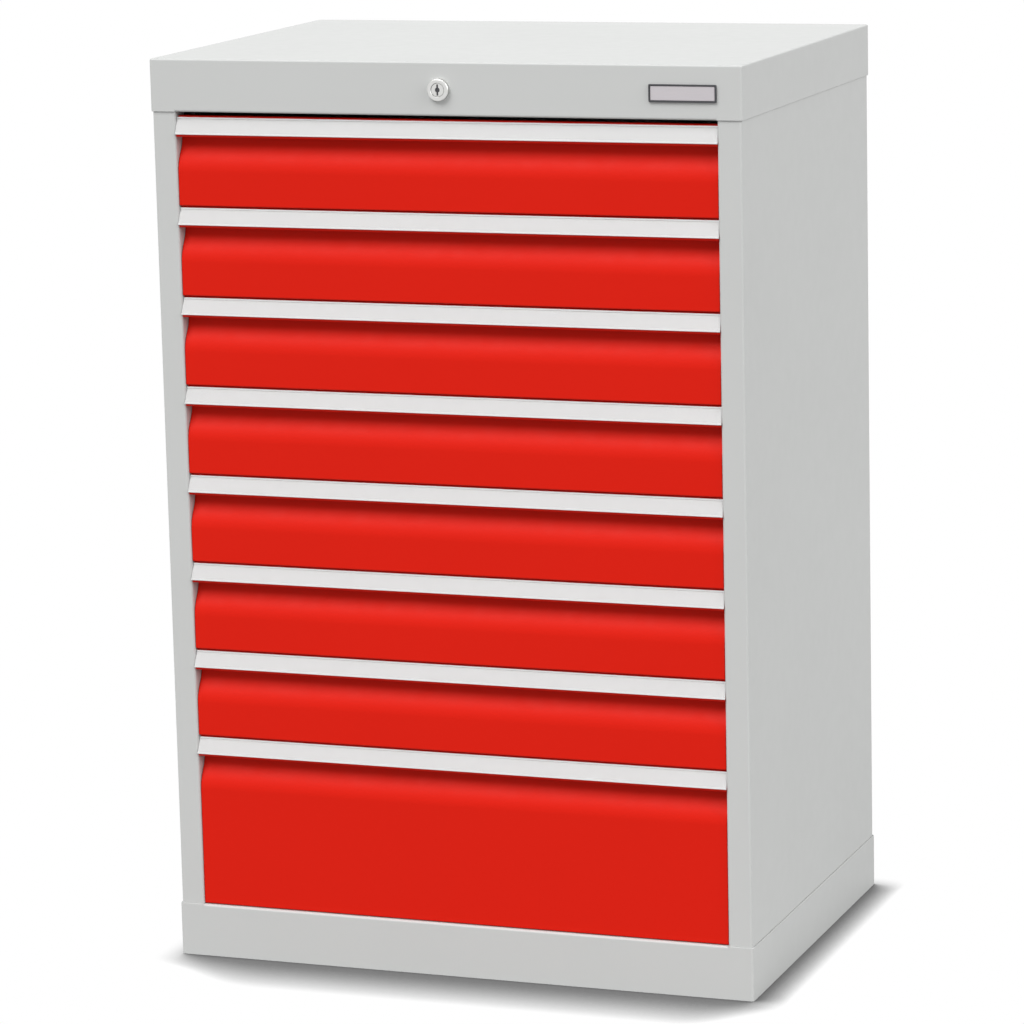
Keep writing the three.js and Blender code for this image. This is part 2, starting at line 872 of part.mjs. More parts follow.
function addNamePlate(parent) {
  const group = new THREE.Group();
  const plateX = cabinetWidth / 2 - plateInset - plateWidth / 2;
  group.position.set(plateX, 0, cabinetHeight - plateCentreDrop);
  addMesh(group, 'name_plate_holder', plateHolder(), darkTrim);
  addMesh(group, 'name_plate', namePlate(), plateSilver);
  parent.add(group);
}

// The origin lies on the floor, under the middle of the cabinet with its grips.
const cabinet = new THREE.Group();
cabinet.position.y = (gripProud - panelFront - cabinetDepth) / 2;
const drawers = drawerStack();
addCarcass(cabinet, drawers);
addDrawers(cabinet, drawers);
addLock(cabinet, drawers);
addNamePlate(cabinet);

export default cabinet;
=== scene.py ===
import math

import bmesh
import bpy
import numpy as np
from bpy.props import FloatProperty, FloatVectorProperty, IntProperty, PointerProperty
from mathutils import Matrix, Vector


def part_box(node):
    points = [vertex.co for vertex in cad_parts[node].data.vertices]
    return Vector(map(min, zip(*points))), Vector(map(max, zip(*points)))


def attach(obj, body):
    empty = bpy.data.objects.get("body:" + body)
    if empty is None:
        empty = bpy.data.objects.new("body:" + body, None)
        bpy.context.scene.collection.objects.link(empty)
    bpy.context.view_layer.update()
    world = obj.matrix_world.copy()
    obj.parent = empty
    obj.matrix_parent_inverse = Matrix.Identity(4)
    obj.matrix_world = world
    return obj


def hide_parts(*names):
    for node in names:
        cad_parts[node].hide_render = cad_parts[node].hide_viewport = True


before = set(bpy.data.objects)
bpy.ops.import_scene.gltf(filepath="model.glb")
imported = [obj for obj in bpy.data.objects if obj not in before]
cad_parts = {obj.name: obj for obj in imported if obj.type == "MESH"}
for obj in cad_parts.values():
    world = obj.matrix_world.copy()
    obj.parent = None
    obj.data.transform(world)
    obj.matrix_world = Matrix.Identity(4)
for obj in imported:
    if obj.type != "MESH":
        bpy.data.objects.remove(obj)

bl_info = {
    "name": "Tap and die drawer cabinet",
    "version": (1, 0, 0),
    "blender": (4, 5, 0),
    "location": "3D View > Sidebar > Cabinet",
    "description": "Finishes the packed drawer cabinet: sheet work, grips, labels, lock, runners and stage",
    "category": "Object",
}

# In metres, with X to the right, Y to the back and Z up: the drawers from the top, and each side's sense along X
DRAWERS = range(1, 1 + sum(name.startswith("drawer_front_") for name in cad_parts))
SIDES = {"left": -1, "right": 1}

# Points nearer to each other than this are one point
TINY = 1e-6

# Facets of a quarter of an upright corner or pressed edge, of a quarter of the bezel's rim, once round the bezel
# and the plug, and across a rounded cut edge
CORNER_STEPS = 6
RIM_STEPS = 8
BEZEL_SIDES = 96
PLUG_SIDES = 256
EDGE_STEPS = 2

# The room's colour, and the rays that look for the object from a point of the floor
WHITE = (1.0, 1.0, 1.0, 1.0)
SHADOW_SAMPLES = 16


def corners_of(node):
    """Lowest and highest corner of a CAD node, as arrays."""
    low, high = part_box(node)
    return np.array(low), np.array(high)


def length(name, description, default):
    return FloatProperty(
        name=name, description=description, default=default, min=0.0, unit="LENGTH", subtype="DISTANCE", precision=5
    )


def angle(name, description, default):
    return FloatProperty(name=name, description=description, default=default, unit="ROTATION", subtype="ANGLE")


def amount(name, description, default):
    return FloatProperty(name=name, description=description, default=default)


def colour(name, description, default):
    return FloatVectorProperty(
        name=name, description=description, default=default, size=3, min=0.0, max=1.0, subtype="COLOR", precision=4
    )


class StageSettings(bpy.types.PropertyGroup):
    camera_place: FloatVectorProperty(
        name="Camera place", description="Where the camera stands", default=(1.7487, -4.7817, 1.4756),
        unit="LENGTH", subtype="XYZ",
    )
    camera_yaw: angle("Yaw", "Turn of the view to the left, seen from above", math.radians(20.2656))
    camera_pitch: angle("Pitch", "Tilt of the view below the horizon", math.radians(11.0419))
    camera_roll: angle("Roll", "Turn of the picture about the view", math.radians(-1.3116))
    lens: FloatProperty(name="Lens", description="Focal length of the camera", default=159.6, unit="CAMERA")
    sky_light: amount("Sky light", "Even light from all round", 0.65)
    main_light: amount("Main light", "Large soft light from the upper left", 2.21)
    main_rise: angle("Main light rise", "Height of the main light over the horizon", math.radians(51.6))
    main_turn: angle("Main light turn", "Turn of the main light to the left of the front", math.radians(25.0))
    side_light: amount("Side light", "Soft light on the right side", 1.33)
    side_rise: angle("Side light rise", "Height of the side light over the horizon", math.radians(25.0))
    side_turn: angle("Side light turn", "Turn of the side light to the left of the front", math.radians(-80.0))
    light_spread: angle("Light spread", "Angle across each soft light", math.radians(40.0))
    floor_tone: amount("Floor tone", "Share of light that the floor sends back", 0.32)
    floor_reach: length("Floor reach", "Half the width of the floor", 30.0)
    shadow_reach: length("Shadow reach", "Distance over which the contact shadow fades beside the object", 0.036)
    shadow_front: length("Shadow in front", "The same distance before the object's front", 0.1)
    ease_front: length("Ease before the front", "Run over which the shadow's reach changes before the front", 0.02)
    ease_outside: length("Ease outside", "The same run past either end of the front", 0.06)
    ease_left: length("Ease at the left", "The same run inside the left end", 0.16)
    ease_right: length("Ease at the right", "The same run inside the right end", 0.08)
    shadow_depth: amount("Shadow depth", "Power of the contact shadow", 2.1)
    shadow_lean: FloatVectorProperty(
        name="Shadow lean", description="Direction that the light on the floor comes from", subtype="XYZ",
        default=(-0.577, 0.577, 0.577),
    )


class FinishSettings(bpy.types.PropertyGroup):
    grey: colour("Grey paint", "Powder coat of the carcass", (0.555, 0.563, 0.555))
    red: colour("Red paint", "Powder coat of the drawer fronts", (0.668, 0.0117, 0.0036))
    zinc: colour("Zinc", "Zinc-plated sheet of trays, runners and lock bar", (0.48, 0.50, 0.52))
    strip: colour("Label channel", "White extruded channel", (0.62, 0.62, 0.62))
    card: colour("Label card", "Blank card", (0.58, 0.577, 0.574))
    film: colour("Clear cover", "Thin plastic over the card", (0.95, 0.95, 0.95))
    nickel: colour("Nickel", "Plated lock parts", (0.70, 0.70, 0.685))
    # The dark trim also colours the lock's tumblers, where it is painted shade in the key slot
    trim: colour("Dark trim", "Moulded frame of the name plate", (0.06, 0.06, 0.066))
    plate: colour("Name plate", "Satin anodised plate", (0.55, 0.52, 0.54))
    steel: colour("Bright steel", "Bearing balls and rivet heads", (0.62, 0.62, 0.63))
    rubber: colour("Rubber", "End stops of the runners", (0.02, 0.02, 0.02))


class SheetSettings(bpy.types.PropertyGroup):
    drawer_sheet: length("Drawer sheet", "Thickness of the drawer fronts", 0.001)
    carcass_sheet: length("Carcass sheet", "Thickness of the carcass sheets", 0.00125)
    back_sheet: length("Back sheet", "Thickness of the back panel", 0.001)
    carcass_bend: length("Carcass bend", "Middle radius of the folds of the carcass", 0.002)
    cover_corner: length("Cover corner", "Upright corners of the top cover and the plinth", 0.003)
    cover_press: length("Cover press", "Pressed edge of the top cover", 0.002)
    apron_return: length("Apron return", "Depth of the folded edge of header and plinth", 0.015)
    apron_hem: length("Apron hem", "Last upright fold behind header and plinth", 0.008)
    apron_fold: length("Apron fold", "Height of the folded edge of header and plinth", 0.004)
    plinth_foot: length("Plinth foot", "Width of the plinth's foot flange", 0.033)
    post_return: length("Post return", "Depth of the fold behind each front post", 0.025)
    rear_flange: length("Rear flange", "Width of the side panels' rear fold", 0.022)
    back_flange: length("Back flange", "Depth of the back panel's top fold", 0.012)
    edge_round: length("Edge rounding", "Rounding of cut edges", 0.0003)
    arc_step: angle("Arc step", "Largest turn of one facet of a fold", math.radians(9.0))


class FrontSettings(bpy.types.PropertyGroup):
    bend: length("Bend", "Middle radius of the folds", 0.001)
    face_setback: length("Face setback", "How far the faces lie behind the posts", 0.0022)
    side_reach: length("Side reach", "How far each end passes the plain front's end", 0.0009)
    front_gap: length("Front gap", "Gap under each front", 0.0008)
    top_drop: length("Top drop", "How far the top fold lies under the plain front's top", 0.0025)
    foot_flange: length("Foot flange", "Depth of the bottom fold", 0.0338)
    end_flange: length("End flange", "Depth of the folded ends", 0.0118)
    end_flange_drop: length("End flange drop", "Height from the end flange up to the recess", 0.004)
    grip_proud: length("Grip proud", "How far the strip's foot stands in front of the face", 0.0047)
    grip_setback: length("Grip setback", "How far the strip's head lies behind the face", 0.002)
    grip_rise: length("Grip rise", "Height of the slanted strip", 0.0185)
    grip_top_margin: length("Grip top margin", "Height from the strip's head to the plain front's top", 0.00375)
    hem_start: length("Hem start", "Distance of the rolled hem below the strip", 0.0013)
    hem_radius: length("Hem radius", "Middle radius of the rolled hem", 0.0012)
    hem_length: length("Hem length", "Length of the hem behind the grip", 0.007)
    recess_depth: length("Recess depth", "Depth of the finger recess", 0.0133)
    recess_foot: length("Recess foot", "Height from the recess's lower edge to the strip's foot", 0.0315)
    recess_head: length("Recess head", "Height from the recess's upright back to the strip's foot", 0.012)
    recess_foot_radius: length("Recess foot radius", "Rounding at the recess's lower edge", 0.036)
    recess_head_radius: length("Recess head radius", "Rounding at the recess's back", 0.026)
    weld_gap: length("Weld gap", "Space between the strip and the grip behind it", 0.0003)


class LabelSettings(bpy.types.PropertyGroup):
    thickness: length("Channel thickness", "Thickness of the label channel over its edges", 0.0018)
    base: length("Channel base", "Thickness of the channel's floor", 0.001)
    pocket: length("Pocket", "Room for the card under the channel's lips", 0.0005)
    edge: length("Channel edge", "Width of the channel's edges", 0.001)
    lip: length("Channel lip", "Overhang of the lips", 0.0008)
    rounding: length("Channel rounding", "Rounded corners of the channel", 0.00035)
    card: length("Card thickness", "Thickness of the label card", 0.0002)
    cover: length("Cover thickness", "Thickness of the clear cover", 0.0002)
    play: length("Card play", "Room left round card and cover", 0.00005)
    end_gap: length("Card end gap", "Distance of card and cover from the channel's ends", 0.0006)
    flare: length("End flare", "How far the foot of a strip passes its head at each end", 0.001)


class LockSettings(bpy.types.PropertyGroup):
    bezel_edge: length("Bezel edge", "Rounded rim of the bezel", 0.0016)
    plug_gap: length("Plug gap", "Ring gap between plug and bezel", 0.0003)
    plug_edge: length("Plug edge", "Rounding of the plug's rim", 0.0003)
    keyway_height: length("Keyway height", "Height of the key slot", 0.012)
    keyway_width: length("Keyway width", "Width of the key slot", 0.002)
    keyway_eye: length("Keyway eye", "Radius of the eye of the key slot", 0.0027)
    keyway_depth: length("Keyway depth", "Depth of the key slot", 0.012)
    tumbler_depth: length("Tumbler depth", "From the plug's face to the tumblers in the key slot", 0.0008)
    tumbler_gap: length("Tumbler gap", "Gap round the tumblers", 0.00005)
    plate_border: length("Plate border", "Width of the name plate's frame", 0.0016)
    plate_corner: length("Plate corner", "Corner radius of the name plate's frame", 0.0012)
    plate_inner_corner: length("Plate inner corner", "Corner radius of the frame's opening", 0.0001)


class RunnerSettings(bpy.types.PropertyGroup):
    ball: length("Ball radius", "Radius of the bearing balls", 0.0015)
    ball_pitch: length("Ball pitch", "Distance between neighbouring balls", 0.013)
    outer_reach: length("Outer race", "Height of the outer race from the runner's middle", 0.0202)
    outer_depth: length("Outer race depth", "Depth of the outer race from the middle member's web", 0.0047)
    inner_reach: length("Inner race", "Height of the inner race from the runner's middle", 0.0158)
    inner_depth: length("Inner race depth", "Depth of the inner race from the middle member's web", 0.0057)
    cage_sheet: length("Cage sheet", "Thickness of a ball cage", 0.0005)
    cage_gap: length("Cage gap", "From the outer cage's web to the middle member's web", 0.00085)
    cage_lip: length("Cage lip", "Depth of the outer cage's edges from the middle member's web", 0.0059)
    inner_width: length("Inner cage width", "Width of an inner cage strip", 0.0027)
    outer_start: length("Outer cage start", "From the runner's front end to the outer cage", 0.202)
    outer_length: length("Outer cage length", "Length of the outer cage", 0.223)
    inner_start: length("Inner cage start", "From the runner's front end to the inner cage", 0.002)
    inner_length: length("Inner cage length", "Length of the inner cage", 0.186)
    stop_length: length("Stop length", "Length of the rubber stop behind a drawer member", 0.008)
    stop_height: length("Stop height", "Height of the rubber stop", 0.014)
    stop_near: length("Stop near face", "Depth of the stop's near face from the middle member's web", 0.0013)
    stop_far: length("Stop far face", "Depth of the stop's far face from the middle member's web", 0.0075)


class RivetSettings(bpy.types.PropertyGroup):
    radius: length("Rivet radius", "Radius of a rivet head", 0.0032)
    height: length("Rivet height", "Height of a rivet head", 0.0009)
    panel_inset: length("Panel inset", "From a side panel's outer face to its rear rivets", 0.011)
    panel_rows: IntProperty(name="Panel rows", description="Rivets up each rear edge", default=7, min=2)
    panel_margin: length("Panel margin", "From the panel's ends to the outermost rivets", 0.08)
    tray_inset: length("Tray inset", "From a tray's side to its outer front rivets", 0.06)
    tray_columns: IntProperty(name="Tray columns", description="Rivets across each tray's front", default=4, min=2)
    tray_drop: length("Tray drop", "From a tray's bottom up to its front rivets", 0.02)


class CabinetSettings(bpy.types.PropertyGroup):
    stage: PointerProperty(type=StageSettings)
    finish: PointerProperty(type=FinishSettings)
    sheet: PointerProperty(type=SheetSettings)
    front: PointerProperty(type=FrontSettings)
    label: PointerProperty(type=LabelSettings)
    lock: PointerProperty(type=LockSettings)
    runner: PointerProperty(type=RunnerSettings)
    rivet: PointerProperty(type=RivetSettings)


def settings():
    return bpy.context.scene.cabinet


def grid_faces(rows, columns, round_rows=False, round_columns=False):
    """Quads between neighbouring rows and columns of a grid, joined round to the first where asked."""
    index = np.arange(rows * columns).reshape(rows, columns)
    if round_rows:
        index = np.vstack([index, index[:1]])
    if round_columns:
        index = np.hstack([index, index[:, :1]])
    return np.stack([index[:-1, :-1], index[:-1, 1:], index[1:, 1:], index[1:, :-1]], axis=-1).reshape(-1, 4)


def turned(points, centre, angles):
    """Points turned about a centre: the reach from it times the turning matrix of each angle."""
    reach = np.asarray(points) - centre
    cos, sin = np.cos(angles), np.sin(angles)
    return centre + np.stack([cos * reach[0] - sin * reach[1], sin * reach[0] + cos * reach[1]], axis=-1)


def bent_line(corners, radii):
    """Centre line of a folded sheet: straight runs, with a tangent arc in place of each inner corner."""
    corners = np.asarray(corners, float)
    step = settings().sheet.arc_step
    parts = [corners[:1]]
    for before, corner, after, radius in zip(corners[:-2], corners[1:-1], corners[2:], radii):
        back, ahead = before - corner, after - corner
        room = min(np.linalg.norm(back), np.linalg.norm(ahead)) / 2
        back, ahead = back / np.linalg.norm(back), ahead / np.linalg.norm(ahead)
        turn = math.pi - math.acos(np.clip(back @ ahead, -1.0, 1.0))
        radius = min(radius, room / math.tan(turn / 2))
        inward = (back + ahead) / np.linalg.norm(back + ahead)
        centre = corner + inward * radius / math.cos(turn / 2)
        start = corner + back * radius * math.tan(turn / 2)
        sense = np.sign(back[1] * ahead[0] - back[0] * ahead[1])
        count = max(math.ceil(turn / step), 1)
        parts.append(turned(start, centre, sense * np.linspace(0.0, turn, count + 1)))
    parts.append(corners[-1:])
    line = np.concatenate(parts)
    steps = np.linalg.norm(np.diff(line, axis=0), axis=1)
    return line[np.append(True, steps > TINY)]


def both_sides(line, thickness):
    """The two sides of a sheet: its centre line moved half the thickness each way along the mitre."""
    runs = np.diff(line, axis=0)
    runs /= np.linalg.norm(runs, axis=1)[:, None]
    arriving = np.vstack([runs[:1], runs])
    leaving = np.vstack([runs, runs[-1:]])
    along = arriving + leaving
    along /= np.linalg.norm(along, axis=1)[:, None]
    reach = thickness / 2 / np.sum(along * arriving, axis=1)
    offset = np.stack([-along[:, 1], along[:, 0]], axis=1) * reach[:, None]
    return line + offset, line - offset


def carried(near, far, axis, start, end):
    """Closed shell: the outline near side, then far side reversed, carried along an axis, with filled ends."""
    outline = np.vstack([near, far[::-1]])
    count = len(outline)
    points = np.empty((2, count, 3))
    points[:, :, [i for i in range(3) if i != axis]] = outline
    points[:, :, axis] = np.array([start, end])[:, None]
    step = np.arange(len(near) - 1)
    cap = np.stack([step, step + 1, count - 2 - step, count - 1 - step], axis=1)
    return points.reshape(-1, 3), [grid_faces(2, count, round_columns=True), cap, cap[:, ::-1] + count]


def folded_sheet(corners, radii, thickness, axis, start, end):
    """A sheet folded along its corners and carried straight along an axis."""
    return carried(*both_sides(bent_line(corners, radii), thickness), axis, start, end)


def rounded_rectangle(low, high, radius, steps):
    """Outline of a rectangle with quarter circles about its inset corners, counter-clockwise."""
    quarter = np.arange(4)[:, None] * math.pi / 2 + np.linspace(0.0, math.pi / 2, steps + 1)
    across = np.array([high[0] - radius, low[0] + radius, low[0] + radius, high[0] - radius])[:, None]
    along = np.array([high[1] - radius, high[1] - radius, low[1] + radius, low[1] + radius])[:, None]
    outline = np.stack([across + radius * np.cos(quarter), along + radius * np.sin(quarter)], axis=-1)
    return outline.reshape(-1, 2)


def ring_shell(rings, filled):
    """Skin through rings of equal count, with the first and last ring filled, or joined round to each other."""
    rings = np.asarray(rings)
    rows, count = rings.shape[:2]
    faces = [grid_faces(rows, count, round_rows=not filled, round_columns=True)]
    if filled:
        first = np.arange(count)[None]
        faces += [first[:, ::-1], first + (rows - 1) * count]
    return rings.reshape(-1, 3), faces


def revolved(rows, sides, axis=1, centre=0.0):
    """Closed skin of rows of reach r and rise h, turned round an axis: r cos a and r sin a across it, and h
    along it, where the reach is one number or one for each angle a."""
    around = np.linspace(0.0, 2 * math.pi, sides, endpoint=False)
    reach = np.stack([np.broadcast_to(r, sides) for r, _ in rows])
    rise = np.broadcast_to(np.array([[h] for _, h in rows]), reach.shape)
    across = [reach * np.cos(around), reach * np.sin(around)]
    points = centre + np.stack([*across[:axis], rise, *across[axis:]], axis=-1)
    return points.reshape(-1, 3), [grid_faces(len(rows), sides, round_columns=True)]


def box_shell(low, high):
    """A block as a carried rectangle."""
    near = np.array([[low[1], low[2]], [high[1], low[2]]])
    far = np.array([[low[1], high[2]], [high[1], high[2]]])
    return carried(near, far, 0, low[0], high[0])


def copies(shell, places):
    """The same shell at several places: its points plus each place, with the faces counted on."""
    points, faces = shell
    places = np.asarray(places)
    moved = (places[:, None] + points[None]).reshape(-1, 3)
    shift = np.arange(len(places)) * len(points)
    return moved, [(group[None] + shift[:, None, None]).reshape(-1, group.shape[1]) for group in faces]


def dome(radius, height, sides=12, rings=3):
    """A rivet head: r = R cos t, h = H sin t, turned round Y, with a flat back."""
    lift = np.linspace(0.0, math.pi / 2, rings + 1)
    return revolved([(0.0, 0.0), *zip(radius * np.cos(lift), height * np.sin(lift))], sides)


def ball(radius, sides=8, rings=5):
    """A bearing ball: r = R sin t, h = R cos t, turned round X."""
    polar = np.linspace(0.0, math.pi, rings)
    points, faces = revolved([*zip(np.sin(polar), np.cos(polar))], sides, axis=0)
    return radius * points, faces


def add_piece(name, shells, finish, body, rounding=0.0, sharp=math.radians(40.0), replaces=()):
    """Puts the shells into one mesh, closes seams and poles, turns faces out and hangs it on its body."""
    starts = np.cumsum([0] + [len(points) for points, _ in shells])
    points = np.concatenate([points for points, _ in shells])
    faces = []
    for (_, groups), start in zip(shells, starts):
        for group in groups:
            faces.extend((group + start).tolist())
    mesh = bpy.data.meshes.new(name)
    mesh.from_pydata(points.tolist(), [], faces)
    work = bmesh.new()
    work.from_mesh(mesh)
    bmesh.ops.remove_doubles(work, verts=work.verts, dist=TINY)
    bmesh.ops.dissolve_degenerate(work, edges=work.edges, dist=TINY)
    bmesh.ops.recalc_face_normals(work, faces=work.faces)
    work.to_mesh(mesh)
    work.free()
    mesh.shade_smooth()
    mesh.set_sharp_from_angle(angle=sharp)
    mesh.materials.append(material(finish))
    piece = bpy.data.objects.new(name, mesh)
    bpy.context.scene.collection.objects.link(piece)
    if rounding:
        bevel = piece.modifiers.new("Rounded edges", "BEVEL")
        bevel.width = rounding
        bevel.segments = EDGE_STEPS
        bevel.limit_method = "ANGLE"
        bevel.angle_limit = sharp
        bevel.use_clamp_overlap = True
    weighted = piece.modifiers.new("Flat faces", "WEIGHTED_NORMAL")
    weighted.keep_sharp = True
    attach(piece, body)
    if replaces:
        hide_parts(*replaces)
    return piece


def refinish(finish, *nodes):
    """Gives CAD nodes a finish in place of their plain one."""
    for node in nodes:
        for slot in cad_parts[node].material_slots:
            slot.material = material(finish)


class Nodes:
    """Short ways to add to a node tree."""

    def __init__(self, tree):
        self.tree = tree

    def node(self, kind, inputs=(), **options):
        node = self.tree.nodes.new(kind)
        for key, value in options.items():
            setattr(node, key, value)
        for key, value in dict(inputs).items():
            self.feed(node.inputs[key], value)
        return node

    def feed(self, socket, value):
        if isinstance(value, bpy.types.NodeSocket):
            self.tree.links.new(value, socket)
        else:
            socket.default_value = value

    def combined(self, operation, first, second):
        return self.node("ShaderNodeMath", {0: first, 1: second}, operation=operation).outputs["Value"]

    def ranged(self, value, low, high, start=0.3, end=0.7, **options):
        inputs = {"Value": value, "From Min": start, "From Max": end, "To Min": low, "To Max": high}
        return self.node("ShaderNodeMapRange", inputs, **options).outputs["Result"]

    def show(self, light, seen, output):
        """Sends out what is seen where a ray comes from the camera, a mirror or glass, and the light elsewhere."""
        path = self.node("ShaderNodeLightPath").outputs
        direct = path["Is Camera Ray"]
        for other in ("Is Glossy Ray", "Is Transmission Ray"):
            direct = self.combined("MAXIMUM", direct, path[other])
        mix = self.node("ShaderNodeMixShader", {0: direct, 1: light.outputs[0], 2: seen.outputs[0]})
        self.feed(self.tree.nodes[output].inputs["Surface"], mix.outputs["Shader"])


class Shading(Nodes):
    """A piece's material under construction, with its patterns on Object coordinates."""

    def __init__(self, name):
        self.material = bpy.data.materials.new(name)
        self.material.use_nodes = True
        super().__init__(self.material.node_tree)
        self.place = self.node("ShaderNodeTexCoord").outputs["Object"]

    def noise(self, fineness, detail=2.0):
        """Noise as fine as one number says, or as three say, one along each axis."""
        place, scale = self.place, fineness
        if isinstance(fineness, tuple):
            place, scale = self.node("ShaderNodeMapping", {"Vector": place, "Scale": fineness}).outputs["Vector"], 1.0
        inputs = {"Vector": place, "Scale": scale, "Detail": detail, "Roughness": 0.55}
        return self.node("ShaderNodeTexNoise", inputs).outputs["Fac"]

    def tinted(self, rgb, value, low, high):
        """The colour times a brightness that wanders between low and high."""
        mix = self.node("ShaderNodeMix", data_type="RGBA")
        self.feed(mix.inputs["Factor"], self.ranged(value, 0.0, 1.0))
        self.feed(mix.inputs["A"], (*[c * low for c in rgb], 1.0))
        self.feed(mix.inputs["B"], (*[c * high for c in rgb], 1.0))
        return mix.outputs["Result"]

    def bump(self, height, strength, distance=0.0001):
        inputs = {"Height": height, "Strength": strength, "Distance": distance}
        return self.node("ShaderNodeBump", inputs).outputs["Normal"]

    def done(self, **inputs):
        for key, value in inputs.items():
            self.feed(self.tree.nodes["Principled BSDF"].inputs[key.replace("_", " ")], value)
        return self.material

    def patterned(self, rgb, tone, roughness, relief, **inputs):
        """Finished with a pattern and its range for tone and roughness, and one with its strength for relief."""
        return self.done(Base_Color=self.tinted(rgb, *tone), Roughness=self.ranged(*roughness),
                         Normal=self.bump(*relief), **inputs)


def powder_coat(name, rgb, gloss=0.22):
    """Baked powder coat: a fine orange peel, satin, with the faintest drift of tone over the sheet."""
    shade = Shading(name)
    drift, haze, peel = shade.noise(5.0), shade.noise(60.0), shade.noise(900.0, 3.0)
    return shade.patterned(rgb, (drift, 0.992, 1.008), (haze, 0.46, 0.54), (peel, 0.12), Specular_IOR_Level=gloss)


def matt_powder_coat(name, rgb):
    """The same coat with a duller skin, so that the colour stays full where the sheet is curved."""
    return powder_coat(name, rgb, 0.1)


def zinc_sheet(name, rgb):
    """Zinc plate: soft crystal patches of two tones over fine rolling lines."""
    shade = Shading(name)
    patches = shade.node("ShaderNodeTexVoronoi", {"Vector": shade.place, "Scale": 90.0}, feature="SMOOTH_F1")
    lines = shade.noise((900.0, 25.0, 900.0), 3.0)
    return shade.patterned(rgb, (patches.outputs["Color"], 0.94, 1.05), (lines, 0.36, 0.50), (lines, 0.08),
                           Metallic=0.85)


def extruded_plastic(name, rgb):
    """White channel: faint draw lines along the extrusion and a soft gloss."""
    shade = Shading(name)
    lines = shade.noise((4.0, 1500.0, 1500.0))
    return shade.patterned(rgb, (shade.noise(30.0), 0.99, 1.01), (lines, 0.30, 0.42), (lines, 0.05),
                           Specular_IOR_Level=0.4)


def card_stock(name, rgb):
    """Blank card: short fibres, matt."""
    shade = Shading(name)
    fibres = shade.noise((1400.0, 500.0, 500.0), 4.0)
    return shade.patterned(rgb, (fibres, 0.98, 1.02), (fibres, 0.75, 0.9), (fibres, 0.1), Specular_IOR_Level=0.2)


def clear_film(name, rgb):
    """Clear cover: a thin, semi-matt plastic with hardly any tint."""
    shade = Shading(name)
    roughness = shade.ranged(shade.noise(200.0), 0.26, 0.32)
    return shade.done(Base_Color=(*rgb, 1.0), Roughness=roughness, Alpha=0.12, Specular_IOR_Level=0.4)


def plated_metal(name, rgb):
    """Nickel plate: turned rings so fine that they only soften the gloss."""
    shade = Shading(name)
    rings = shade.noise((700.0, 2500.0, 700.0))
    return shade.patterned(rgb, (shade.noise(120.0), 0.97, 1.02), (rings, 0.28, 0.38), (rings, 0.04), Metallic=1.0)


def moulded_plastic(name, rgb):
    """Moulded plastic or rubber: a fine eroded grain."""
    shade = Shading(name)
    grain = shade.noise(1600.0, 4.0)
    return shade.patterned(rgb, (grain, 0.9, 1.1), (grain, 0.5, 0.65), (grain, 0.15), Specular_IOR_Level=0.35)


def satin_plate(name, rgb):
    """Anodised plate: short brushed lines along X."""
    shade = Shading(name)
    brush = shade.noise((60.0, 3000.0, 3000.0), 4.0)
    return shade.patterned(rgb, (brush, 0.96, 1.04), (brush, 0.35, 0.5), (brush, 0.05), Metallic=0.6)


FINISHES = {
    "grey_paint": (powder_coat, "grey"),
    "red_paint": (matt_powder_coat, "red"),
    "zinc_plate": (zinc_sheet, "zinc"),
    "strip_white": (extruded_plastic, "strip"),
    "label_card": (card_stock, "card"),
    "clear_cover": (clear_film, "film"),
    "nickel": (plated_metal, "nickel"),
    "bright_steel": (plated_metal, "steel"),
    "dark_trim": (moulded_plastic, "trim"),
    "rubber": (moulded_plastic, "rubber"),
    "plate_silver": (satin_plate, "plate"),
}


def material(finish):
    """The material of a finish, made when it is first asked for."""
    name = f"finish_{finish}"
    make, key = FINISHES[finish]
    return bpy.data.materials.get(name) or make(name, getattr(settings().finish, key))


